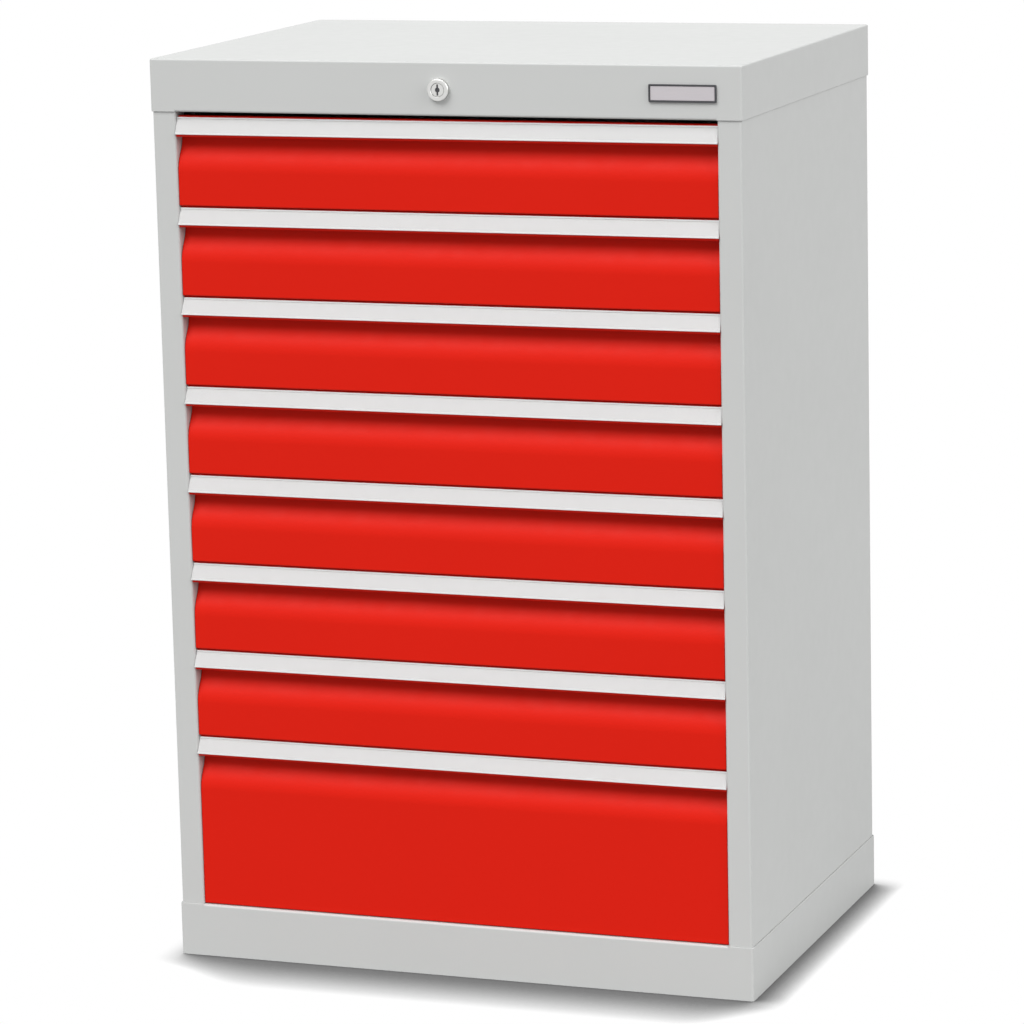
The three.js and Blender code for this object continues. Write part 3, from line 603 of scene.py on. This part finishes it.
class CABINET_OT_stage(bpy.types.Operator):
    """Pale floor, even white room and a camera at the photograph's angle"""

    bl_idname = "cabinet.stage"
    bl_label = "Stage"

    def execute(self, context):
        stage = settings().stage
        self.add_camera(context.scene, stage)
        self.light_room(context.scene, stage)
        self.add_floor(context.scene, stage)
        context.scene.view_settings.view_transform = "Standard"
        return {"FINISHED"}

    def add_camera(self, scene, stage):
        """Turns the camera by yaw and pitch, then rolls it about its own view."""
        camera = bpy.data.cameras.new("photo_camera")
        camera.lens = stage.lens
        camera.clip_end = 2 * stage.floor_reach
        yaw, pitch, roll = stage.camera_yaw, stage.camera_pitch, stage.camera_roll
        turn = Matrix.Rotation(yaw, 4, "Z") @ Matrix.Rotation(math.pi / 2 - pitch, 4, "X")
        holder = bpy.data.objects.new("photo_camera", camera)
        holder.matrix_world = Matrix.Translation(stage.camera_place) @ turn @ Matrix.Rotation(roll, 4, "Z")
        scene.collection.objects.link(holder)
        scene.camera = holder

    def light_room(self, scene, stage):
        scene.world = bpy.data.worlds.new("white_room")
        scene.world.use_nodes = True
        room = Nodes(scene.world.node_tree)
        light = room.tree.nodes["Background"]
        seen = room.node("ShaderNodeBackground")
        for background, strength in ((light, stage.sky_light), (seen, 1.0)):
            room.feed(background.inputs["Color"], WHITE)
            room.feed(background.inputs["Strength"], strength)
        room.show(light, seen, "World Output")
        for name in ("main", "side"):
            strength, turn, rise = (getattr(stage, f"{name}_{part}") for part in ("light", "turn", "rise"))
            self.add_light(scene, f"{name}_light", strength, stage.light_spread, turn, rise)

    def add_light(self, scene, name, strength, spread, turn, rise):
        """A distant soft light, turned from the front and raised over the horizon."""
        light = bpy.data.lights.new(name, "SUN")
        light.energy, light.angle = strength, spread
        lamp = bpy.data.objects.new(name, light)
        lamp.matrix_world = Matrix.Rotation(-turn, 4, "Z") @ Matrix.Rotation(math.pi / 2 - rise, 4, "X")
        scene.collection.objects.link(lamp)

    def add_floor(self, scene, stage):
        """A flat square whose seen side is white and darkens only where the object stands close."""
        reach = stage.floor_reach
        mesh = bpy.data.meshes.new("studio_floor")
        corners = [(-reach, -reach, 0.0), (reach, -reach, 0.0), (reach, reach, 0.0), (-reach, reach, 0.0)]
        mesh.from_pydata(corners, [], [(0, 1, 2, 3)])
        floor = bpy.data.objects.new("studio_floor", mesh)
        scene.collection.objects.link(floor)
        mesh.materials.append(self.floor_finish(stage))

    def floor_finish(self, stage):
        """Diffuse for the light it sends back, and white times the contact shadow where it is seen."""
        finish = bpy.data.materials.new("studio_floor")
        finish.use_nodes = True
        nodes = Nodes(finish.node_tree)
        nodes.tree.nodes.remove(nodes.tree.nodes["Principled BSDF"])
        tone = nodes.node("ShaderNodeBsdfDiffuse", {"Color": (*[stage.floor_tone] * 3, 1.0)})
        lean = nodes.node("ShaderNodeCombineXYZ", zip("XYZ", stage.shadow_lean))
        inputs = {"Normal": lean.outputs["Vector"], "Distance": self.shadow_length(nodes, stage)}
        close = nodes.node("ShaderNodeAmbientOcclusion", inputs, samples=SHADOW_SAMPLES)
        shadow = nodes.combined("POWER", close.outputs["AO"], stage.shadow_depth)
        nodes.show(tone, nodes.node("ShaderNodeEmission", {"Color": shadow}), "Material Output")
        return finish

    def shadow_length(self, nodes, stage):
        """The reach of the contact shadow: the longer one before the front, eased into the shorter one at
        the front's plane and towards both ends."""
        (left, front, _), (right, _, _) = corners_of("plinth_base")
        place = nodes.node("ShaderNodeTexCoord").outputs["Object"]
        x, y, _ = nodes.node("ShaderNodeSeparateXYZ", {"Vector": place}).outputs
        ease = {"interpolation_type": "SMOOTHSTEP"}
        share = nodes.ranged(y, 1.0, 0.0, front - stage.ease_front, front, **ease)
        for low, high, start, end in (
            (1.0, 0.0, right - stage.ease_right, right + stage.ease_outside),
            (0.0, 1.0, left - stage.ease_outside, left + stage.ease_left),
        ):
            share = nodes.combined("MULTIPLY", share, nodes.ranged(x, low, high, start, end, **ease))
        return nodes.ranged(share, stage.shadow_reach, stage.shadow_front, 0.0, 1.0, **ease)


class CABINET_OT_carcass(bpy.types.Operator):
    """Folded sheets of the carcass: cover, plinth, side panels and back panel"""

    bl_idname = "cabinet.carcass"
    bl_label = "Carcass"

    def execute(self, context):
        sheet = settings().sheet
        self.add_cover(sheet)
        self.add_plinth(sheet)
        for side in SIDES:
            self.add_side_panel(sheet, side)
        self.add_back_panel(sheet)
        self.add_panel_rivets(settings().rivet)
        refinish("grey_paint", "floor_pan")
        refinish("zinc_plate", "runner_rack_left", "runner_rack_right")
        return {"FINISHED"}

    def notched_plan(self, sheet, low, high, inset):
        """Outline of the cover or plinth, with two doubled points on its front run where the fold starts.

        Returns the points and a mask that is one along the folded stretch."""
        corner = max(sheet.cover_corner - inset, sheet.cover_press / 2)
        outline = rounded_rectangle(low[:2] + inset, high[:2] - inset, corner, CORNER_STEPS)
        half = self.fold_half()
        front = low[1] + inset
        doubled = np.array([[-half, front], [-half, front], [half, front], [half, front]])
        before = 3 * (CORNER_STEPS + 1)
        mask = np.zeros(len(outline) + len(doubled))
        mask[before + 1:before + 3] = 1.0
        return np.insert(outline, before, doubled, axis=0), mask

    def fold_half(self):
        """Half the folded stretch, which ends just short of the posts."""
        (post, _, foot), _ = corners_of("side_panel_right")
        join_gap = foot - corners_of("plinth_base")[0][2] - settings().sheet.carcass_sheet
        return post - join_gap

    def notched_rings(self, sheet, low, high, places):
        """Rings of the cover or plinth: for each inset, level and lift the notched plan at that level, moved
        by the lift along the fold."""
        plans = [(*self.notched_plan(sheet, low, high, inset), level, lift) for inset, level, lift in places]
        return [np.column_stack([plan, level + lift * mask]) for plan, mask, level, lift in plans]

    def apron(self, sheet, front, edge, turn):
        """The folded edge of the header or plinth, back and away from the opening."""
        thickness = sheet.carcass_sheet
        level = edge + turn * thickness / 2
        return folded_sheet([
            (front + thickness / 2, edge + turn * sheet.apron_fold),
            (front + thickness / 2, level),
            (front + sheet.apron_return, level),
            (front + sheet.apron_return, level + turn * sheet.apron_hem),
        ], [sheet.carcass_bend] * 2, thickness, 0, -self.fold_half(), self.fold_half())

    def add_sheet(self, name, shells, node):
        add_piece(name, shells, "grey_paint", "carcass", settings().sheet.edge_round, replaces=[node])

    def add_cover(self, sheet):
        """Rings from the inside of the top down the skirt and up its outside, with the pressed edge: inset
        p (1 - cos t), level top - p (1 - sin t)."""
        low, high = corners_of("top_cover")
        wall, press, fold = sheet.carcass_sheet, sheet.cover_press, sheet.apron_fold
        turns = np.linspace(0.0, math.pi / 2, CORNER_STEPS + 1)
        rings = self.notched_rings(sheet, low, high, [
            (wall, high[2] - wall, 0.0), (wall, low[2], fold), (0.0, low[2], fold),
            *((press * (1 - math.cos(turn)), high[2] - press * (1 - math.sin(turn)), 0.0) for turn in turns),
        ])
        shells = [ring_shell(rings, True), self.apron(sheet, low[1], low[2], 1)]
        self.add_sheet("cover_sheet", shells, "top_cover")

    def add_plinth(self, sheet):
        """Rings up the outside of the wall, down its inside, in over the foot flange and back under it."""
        low, high = corners_of("plinth_base")
        wall, foot, fold = sheet.carcass_sheet, sheet.plinth_foot, -sheet.apron_fold
        rings = self.notched_rings(sheet, low, high, [
            (0.0, low[2], 0.0), (0.0, high[2], fold), (wall, high[2], fold), (wall, low[2] + wall, 0.0),
            (foot, low[2] + wall, 0.0), (foot, low[2], 0.0),
        ])
        shells = [ring_shell(rings, False), self.apron(sheet, low[1], high[2], -1)]
        self.add_sheet("plinth_sheet", shells, "plinth_base")

    def add_side_panel(self, sheet, side):
        """Rear flange, wall, front post and its return in one sheet, seen in plan."""
        node = f"side_panel_{side}"
        low, high = corners_of(node)
        sense, half = SIDES[side], sheet.carcass_sheet / 2
        wall = (high[0] - half) if sense > 0 else (low[0] + half)
        post = (low[0] + half) if sense > 0 else (high[0] - half)
        front, back = low[1] + half, high[1] - half
        shell = folded_sheet([
            (wall - sense * sheet.rear_flange, back),
            (wall, back),
            (wall, front),
            (post, front),
            (post, low[1] + sheet.post_return),
        ], [sheet.carcass_bend] * 3, sheet.carcass_sheet, 2, low[2], high[2])
        self.add_sheet(f"side_sheet_{side}", [shell], node)

    def add_back_panel(self, sheet):
        """Upright sheet with its top folded forwards, carried over the width."""
        low, high = corners_of("back_panel")
        half = sheet.back_sheet / 2
        y, top = high[1] - half, high[2] - half
        corners = [(y, low[2]), (y, top), (y - sheet.back_flange, top)]
        shell = folded_sheet(corners, [sheet.carcass_bend], sheet.back_sheet, 0, low[0], high[0])
        self.add_sheet("back_sheet", [shell], "back_panel")

    def add_panel_rivets(self, rivet):
        """Rivet heads in even steps up the rear folds of the side panels."""
        low, high = corners_of("side_panel_right")
        across = high[0] - rivet.panel_inset
        levels = np.linspace(low[2] + rivet.panel_margin, high[2] - rivet.panel_margin, rivet.panel_rows)
        places = [(side * across, high[1], level) for side in SIDES.values() for level in levels]
        heads = copies(dome(rivet.radius, rivet.height), places)
        add_piece("panel_rivets", [heads], "bright_steel", "carcass")


class CABINET_OT_fronts(bpy.types.Operator):
    """Drawer fronts, each one sheet: foot flange, face, finger recess, top fold, slanted grip and rolled hem"""

    bl_idname = "cabinet.fronts"
    bl_label = "Drawer fronts"

    def execute(self, context):
        for number in DRAWERS:
            self.add_front(number)
        return {"FINISHED"}

    def add_front(self, number):
        """The section from the foot flange up to the hem behind the grip, carried over the width, and two end
        flanges. The grip runs parallel to the strip, below it by the channel, the gap and half the sheet."""
        front = settings().front
        low, high = front_corners(number)
        thickness = settings().sheet.drawer_sheet
        half = thickness / 2
        foot, head, upward, outward = grip_lines(number)
        plane = face_plane()
        face, recess = plane + half, plane + front.recess_depth + half
        top, bottom = high[2] - half, low[2] + half
        sunk = settings().label.thickness + front.weld_gap + half
        lip = foot - outward * sunk - upward * front.hem_start
        shoulder = lip + upward * (top - lip[1]) / upward[1]
        roll = lip - outward * 2 * front.hem_radius
        recess_foot = foot[1] - front.recess_foot
        section = folded_sheet([
            (plane + front.foot_flange, bottom),
            (face, bottom),
            (face, recess_foot),
            (recess, foot[1] - front.recess_head),
            (recess, top),
            shoulder,
            lip,
            roll,
            roll + upward * front.hem_length,
        ], [
            front.bend, front.recess_foot_radius, front.recess_head_radius, front.bend, front.bend,
            front.hem_radius, front.hem_radius,
        ], thickness, 0, low[0], high[0])
        ends = []
        for x in (low[0], high[0] - thickness):
            start = np.array([x, plane + thickness, low[2] + thickness])
            end = np.array([x + thickness, plane + front.end_flange, recess_foot - front.end_flange_drop])
            ends.append(box_shell(start, end))
        add_piece(
            f"front_sheet_{number}", [section, *ends], "red_paint", f"drawer_{number}", settings().sheet.edge_round,
            replaces=[f"drawer_front_{number}"],
        )


def face_plane():
    """The plane of the drawer faces, a little behind the posts."""
    return corners_of("side_panel_right")[0][1] + settings().front.face_setback


def front_corners(number):
    """Lowest and highest corner of a drawer front, with its narrow gaps to the posts and to what lies beneath."""
    front = settings().front
    low, high = corners_of(f"drawer_front_{number}")
    low[0] -= front.side_reach
    high[0] += front.side_reach
    high[2] -= front.top_drop
    if number == DRAWERS[-1]:
        beneath = corners_of("plinth_base")[1][2]
    else:
        beneath = corners_of(f"drawer_front_{number + 1}")[1][2] - front.top_drop
    low[2] = beneath + front.front_gap
    return low, high


def grip_lines(number):
    """Lower and upper edge of a label strip's face, with its directions up the slope and out of the face."""
    front = settings().front
    head_level = corners_of(f"drawer_front_{number}")[1][2] - front.grip_top_margin
    foot = np.array([face_plane() - front.grip_proud, head_level - front.grip_rise])
    head = np.array([face_plane() + front.grip_setback, head_level])
    upward = (head - foot) / np.linalg.norm(head - foot)
    return foot, head, upward, np.array([-upward[1], upward[0]])


class CABINET_OT_labels(bpy.types.Operator):
    """Label channels on the grips, each with a blank card and a clear cover"""

    bl_idname = "cabinet.labels"
    bl_label = "Label channels"

    def execute(self, context):
        for number in DRAWERS:
            self.add_channel(number)
        return {"FINISHED"}

    def strip(self, number, near, far, inset=0.0):
        """A section drawn up the slope and out of it, carried over the drawer's width, with ends that spread
        towards the foot: x + sign x times the flare times the share of the way down."""
        foot, head, upward, outward = grip_lines(number)
        low, high = front_corners(number)
        base = foot - outward * settings().label.thickness
        near, far = (base + np.asarray(side) @ np.array([upward, outward]) for side in (near, far))
        points, faces = carried(near, far, 0, low[0] + inset, high[0] - inset)
        way_down = (head[1] - points[:, 2]) / (head[1] - foot[1])
        points[:, 0] += np.sign(points[:, 0]) * settings().label.flare * way_down
        return points, faces

    def add_channel(self, number):
        """The channel's section: a floor, and at either edge a hook with its lip, mirrored at mid-width. Card
        and cover are thin strips between the edges, one over the other."""
        label = settings().label
        foot, head, _, _ = grip_lines(number)
        width = np.linalg.norm(head - foot)
        pocket_top = label.base + label.pocket
        inner, edge = label.edge + label.lip, label.edge
        low_hook = [(inner, label.thickness), (0.0, label.thickness), (0.0, 0.0)]
        low_room = [(inner, pocket_top), (edge, pocket_top), (edge, label.base)]
        near = np.array(low_hook + [(width - a, b) for a, b in low_hook[::-1]])
        far = np.array(low_room + [(width - a, b) for a, b in low_room[::-1]])
        body = f"drawer_{number}"
        shell = self.strip(number, near, far)
        add_piece(f"label_channel_{number}", [shell], "strip_white", body, label.rounding,
                  replaces=[f"label_strip_{number}"])
        start, end = edge + label.play, width - edge - label.play
        level = label.base + label.play
        for name, finish, thickness in (
            ("label_card", "label_card", label.card), ("label_cover", "clear_cover", label.cover),
        ):
            near, far = [(start, level + thickness), (end, level + thickness)], [(start, level), (end, level)]
            add_piece(f"{name}_{number}", [self.strip(number, near, far, label.end_gap)], finish, body)
            level += thickness + label.play


class CABINET_OT_lock(bpy.types.Operator):
    """Cylinder lock with its bezel, plug and key slot, and the works behind it"""

    bl_idname = "cabinet.lock"
    bl_label = "Lock"

    def execute(self, context):
        self.add_bezel()
        self.add_plug()
        refinish("nickel", "lock_nut")
        refinish("zinc_plate", "lock_shaft", "lock_shaft_bracket", "lock_bar", "lock_bar_guide_upper",
                 "lock_bar_guide_lower")
        return {"FINISHED"}

    def add_bezel(self):
        """Rows round the lock's axis: the bore, its rim, a quarter circle with r - e + e sin t and y + e - e cos t,
        the seat on the header, and the narrower body behind it."""
        lock = settings().lock
        low, high = corners_of("lock_housing")
        plug_low, plug_high = corners_of("lock_plug")
        centre, radius = (low + high) / 2 * (1, 0, 1), (high[0] - low[0]) / 2
        bore = (plug_high[0] - plug_low[0]) / 2 + lock.plug_gap
        body = radius - (radius - bore) / 2
        seat = corners_of("top_cover")[0][1]
        edge = lock.bezel_edge
        turn = np.linspace(0.0, math.pi / 2, RIM_STEPS + 1)
        rim = np.column_stack([radius - edge + edge * np.sin(turn), low[1] + edge - edge * np.cos(turn)])
        rows = [
            (bore, high[1]), (bore, low[1] + lock.plug_edge), (bore + lock.plug_edge, low[1]), *rim,
            (radius, seat), (body, seat), (body, high[1]), (bore, high[1]),
        ]
        shell = revolved(rows, BEZEL_SIDES, centre=centre)
        add_piece("lock_bezel", [shell], "nickel", "carcass", replaces=["lock_housing"])

    def add_plug(self):
        """Plug with the key slot sunk into its face; behind the slot's mouth, near-black tumblers paint its shade.

        The slot is the farther of an eye and a bar: r = max(eye, min(w / 2 |cos a|, h / 2 |sin a|))."""
        lock = settings().lock
        low, high = corners_of("lock_plug")
        centre, radius = (low + high) / 2 * (1, 0, 1), (high[0] - low[0]) / 2
        around = np.linspace(0.0, 2 * math.pi, PLUG_SIDES, endpoint=False)
        cos, sin = np.abs(np.cos(around)) + TINY, np.abs(np.sin(around)) + TINY
        bar = np.minimum(lock.keyway_width / 2 / cos, lock.keyway_height / 2 / sin)
        slot = np.maximum(lock.keyway_eye, bar)
        face, edge, deep = low[1], lock.plug_edge, low[1] + lock.keyway_depth
        plug = [
            (0.0, deep), (slot, deep), (slot, face), (radius - edge, face), (radius, face + edge), (radius, high[1]),
            (0.0, high[1]),
        ]
        shell = revolved(plug, PLUG_SIDES, centre=centre)
        add_piece("lock_cylinder_plug", [shell], "nickel", "lock_cylinder", replaces=["lock_plug"])
        stack, near, far = slot - lock.tumbler_gap, face + lock.tumbler_depth, deep - lock.tumbler_gap
        shell = revolved([(0.0, far), (stack, far), (stack, near), (0.0, near)], PLUG_SIDES, centre=centre)
        # Near-black tumblers just behind the plug's face: painted shade inside the key slot
        add_piece("lock_tumblers", [shell], "dark_trim", "lock_cylinder")


class CABINET_OT_name_plate(bpy.types.Operator):
    """Bare name plate in its slim dark frame"""

    bl_idname = "cabinet.name_plate"
    bl_label = "Name plate"

    def execute(self, context):
        lock, sheet = settings().lock, settings().sheet
        low, high = corners_of("name_plate_holder")
        border, corner = lock.plate_border, lock.plate_corner
        flat_low, flat_high = low[[0, 2]], high[[0, 2]]

        def ring(inset, depth):
            """The rounded outline, moved in by an inset, at one depth."""
            radius = max(corner - inset, lock.plate_inner_corner)
            outline = rounded_rectangle(flat_low + inset, flat_high - inset, radius, CORNER_STEPS)
            return np.column_stack([outline[:, 0], np.full(len(outline), depth), outline[:, 1]])

        rings = [ring(0.0, high[1]), ring(0.0, low[1]), ring(border, low[1]), ring(border, high[1])]
        add_piece("plate_frame", [ring_shell(rings, False)], "dark_trim", "carcass", sheet.edge_round,
                  replaces=["name_plate_holder"])
        plate_low, plate_high = corners_of("name_plate")
        flat_low, flat_high = plate_low[[0, 2]], plate_high[[0, 2]]
        rings = [ring(0.0, plate_high[1]), ring(0.0, plate_low[1])]
        add_piece("bare_plate", [ring_shell(rings, True)], "plate_silver", "carcass", sheet.edge_round,
                  replaces=["name_plate"])
        return {"FINISHED"}


class CABINET_OT_runners(bpy.types.Operator):
    """Drawer trays and telescopic runners, with balls, cages and stops between their members"""

    bl_idname = "cabinet.runners"
    bl_label = "Trays and runners"

    def execute(self, context):
        for number in DRAWERS:
            refinish("zinc_plate", f"drawer_tray_{number}")
            self.add_tray_rivets(number)
            for side in SIDES:
                refinish("zinc_plate", f"runner_middle_{side}_{number}")
                self.add_balls(number, side)
                self.add_cages(number, side)
                self.add_stop(number, side)
        return {"FINISHED"}

    def middle(self, number, side):
        """Outward sense, outer face of the middle member's web, its front end and its middle level."""
        low, high = corners_of(f"runner_middle_{side}_{number}")
        sense = SIDES[side]
        return sense, max(sense * low[0], sense * high[0]), low[1], (low[2] + high[2]) / 2

    def add_balls(self, number, side):
        """Balls in even steps along the four races, which lie mirrored above and below the middle."""
        runner = settings().runner
        sense, web, front, level = self.middle(number, side)
        places = []
        for reach, depth, start, run in (
            (runner.outer_reach, runner.outer_depth, runner.outer_start, runner.outer_length),
            (runner.inner_reach, runner.inner_depth, runner.inner_start, runner.inner_length),
        ):
            along = front + start + np.arange(runner.ball_pitch / 2, run, runner.ball_pitch)
            for sign in (-1, 1):
                x = np.full_like(along, sense * (web - depth))
                places.append(np.column_stack([x, along, np.full_like(along, level + sign * reach)]))
        balls = copies(ball(runner.ball), np.vstack(places))
        add_piece(f"runner_balls_{side}_{number}", [balls], "bright_steel", f"runner_{side}_{number}")

    def add_cages(self, number, side):
        """A folded channel for the outer balls, open to the drawer, and two flat strips for the inner ones."""
        runner = settings().runner
        sense, web, front, level = self.middle(number, side)
        back, lip = sense * (web + runner.cage_gap), sense * (web - runner.cage_lip)
        start = front + runner.outer_start
        shells = [folded_sheet([
            (lip, level - runner.outer_reach),
            (back, level - runner.outer_reach),
            (back, level + runner.outer_reach),
            (lip, level + runner.outer_reach),
        ], [runner.cage_sheet] * 2, runner.cage_sheet, 1, start, start + runner.outer_length)]
        start = front + runner.inner_start
        edges = sorted(sense * (web - runner.inner_depth + sign * runner.inner_width / 2) for sign in (-1, 1))
        for sign in (-1, 1):
            height = level + sign * runner.inner_reach
            low = (edges[0], start, height - runner.cage_sheet / 2)
            high = (edges[1], start + runner.inner_length, height + runner.cage_sheet / 2)
            shells.append(box_shell(low, high))
        add_piece(f"runner_cages_{side}_{number}", shells, "zinc_plate", f"runner_{side}_{number}")

    def add_stop(self, number, side):
        """A rubber block in the middle member, just behind the closed drawer's member."""
        runner = settings().runner
        sense, web, _, level = self.middle(number, side)
        start = corners_of(f"drawer_tray_{number}")[1][1] + runner.cage_sheet
        edges = sorted((sense * (web - runner.stop_near), sense * (web - runner.stop_far)))
        low = (edges[0], start, level - runner.stop_height / 2)
        high = (edges[1], start + runner.stop_length, level + runner.stop_height / 2)
        add_piece(f"runner_stop_{side}_{number}", [box_shell(low, high)], "rubber", f"runner_{side}_{number}",
                  runner.cage_sheet)

    def add_tray_rivets(self, number):
        """Rivet heads across the inside of the tray's front wall, which hold the drawer front."""
        rivet = settings().rivet
        low, high = corners_of(f"drawer_tray_{number}")
        inside = low[1] + settings().sheet.drawer_sheet
        across = np.linspace(low[0] + rivet.tray_inset, high[0] - rivet.tray_inset, rivet.tray_columns)
        places = [(x, inside, low[2] + rivet.tray_drop) for x in across]
        heads = copies(dome(rivet.radius, rivet.height), places)
        add_piece(f"tray_rivets_{number}", [heads], "bright_steel", f"drawer_{number}")


OPERATORS = [
    CABINET_OT_stage, CABINET_OT_carcass, CABINET_OT_fronts, CABINET_OT_labels, CABINET_OT_lock,
    CABINET_OT_name_plate, CABINET_OT_runners,
]


class CABINET_PT_panel(bpy.types.Panel):
    """Buttons that build the cabinet's pieces, and their sizes"""

    bl_idname = "CABINET_PT_panel"
    bl_label = "Drawer cabinet"
    bl_space_type = "VIEW_3D"
    bl_region_type = "UI"
    bl_category = "Cabinet"

    def draw(self, context):
        for operator in OPERATORS:
            self.layout.operator(operator.bl_idname)
        for group in settings().bl_rna.properties:
            if group.type == "POINTER" and group.identifier != "rna_type":
                box = self.layout.box()
                part = getattr(settings(), group.identifier)
                for item in part.bl_rna.properties:
                    if item.identifier not in ("rna_type", "name"):
                        box.prop(part, item.identifier)


CLASSES = [
    StageSettings, FinishSettings, SheetSettings, FrontSettings, LabelSettings, LockSettings, RunnerSettings,
    RivetSettings, CabinetSettings, *OPERATORS, CABINET_PT_panel,
]


def register():
    for item in CLASSES:
        bpy.utils.register_class(item)
    bpy.types.Scene.cabinet = PointerProperty(type=CabinetSettings)


def unregister():
    del bpy.types.Scene.cabinet
    for item in reversed(CLASSES):
        bpy.utils.unregister_class(item)


def main():
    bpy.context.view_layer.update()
    register()
    bpy.ops.cabinet.stage()
    bpy.ops.cabinet.carcass()
    bpy.ops.cabinet.fronts()
    bpy.ops.cabinet.labels()
    bpy.ops.cabinet.lock()
    bpy.ops.cabinet.name_plate()
    bpy.ops.cabinet.runners()
    bpy.context.view_layer.update()


if __name__ == "__main__":
    main()
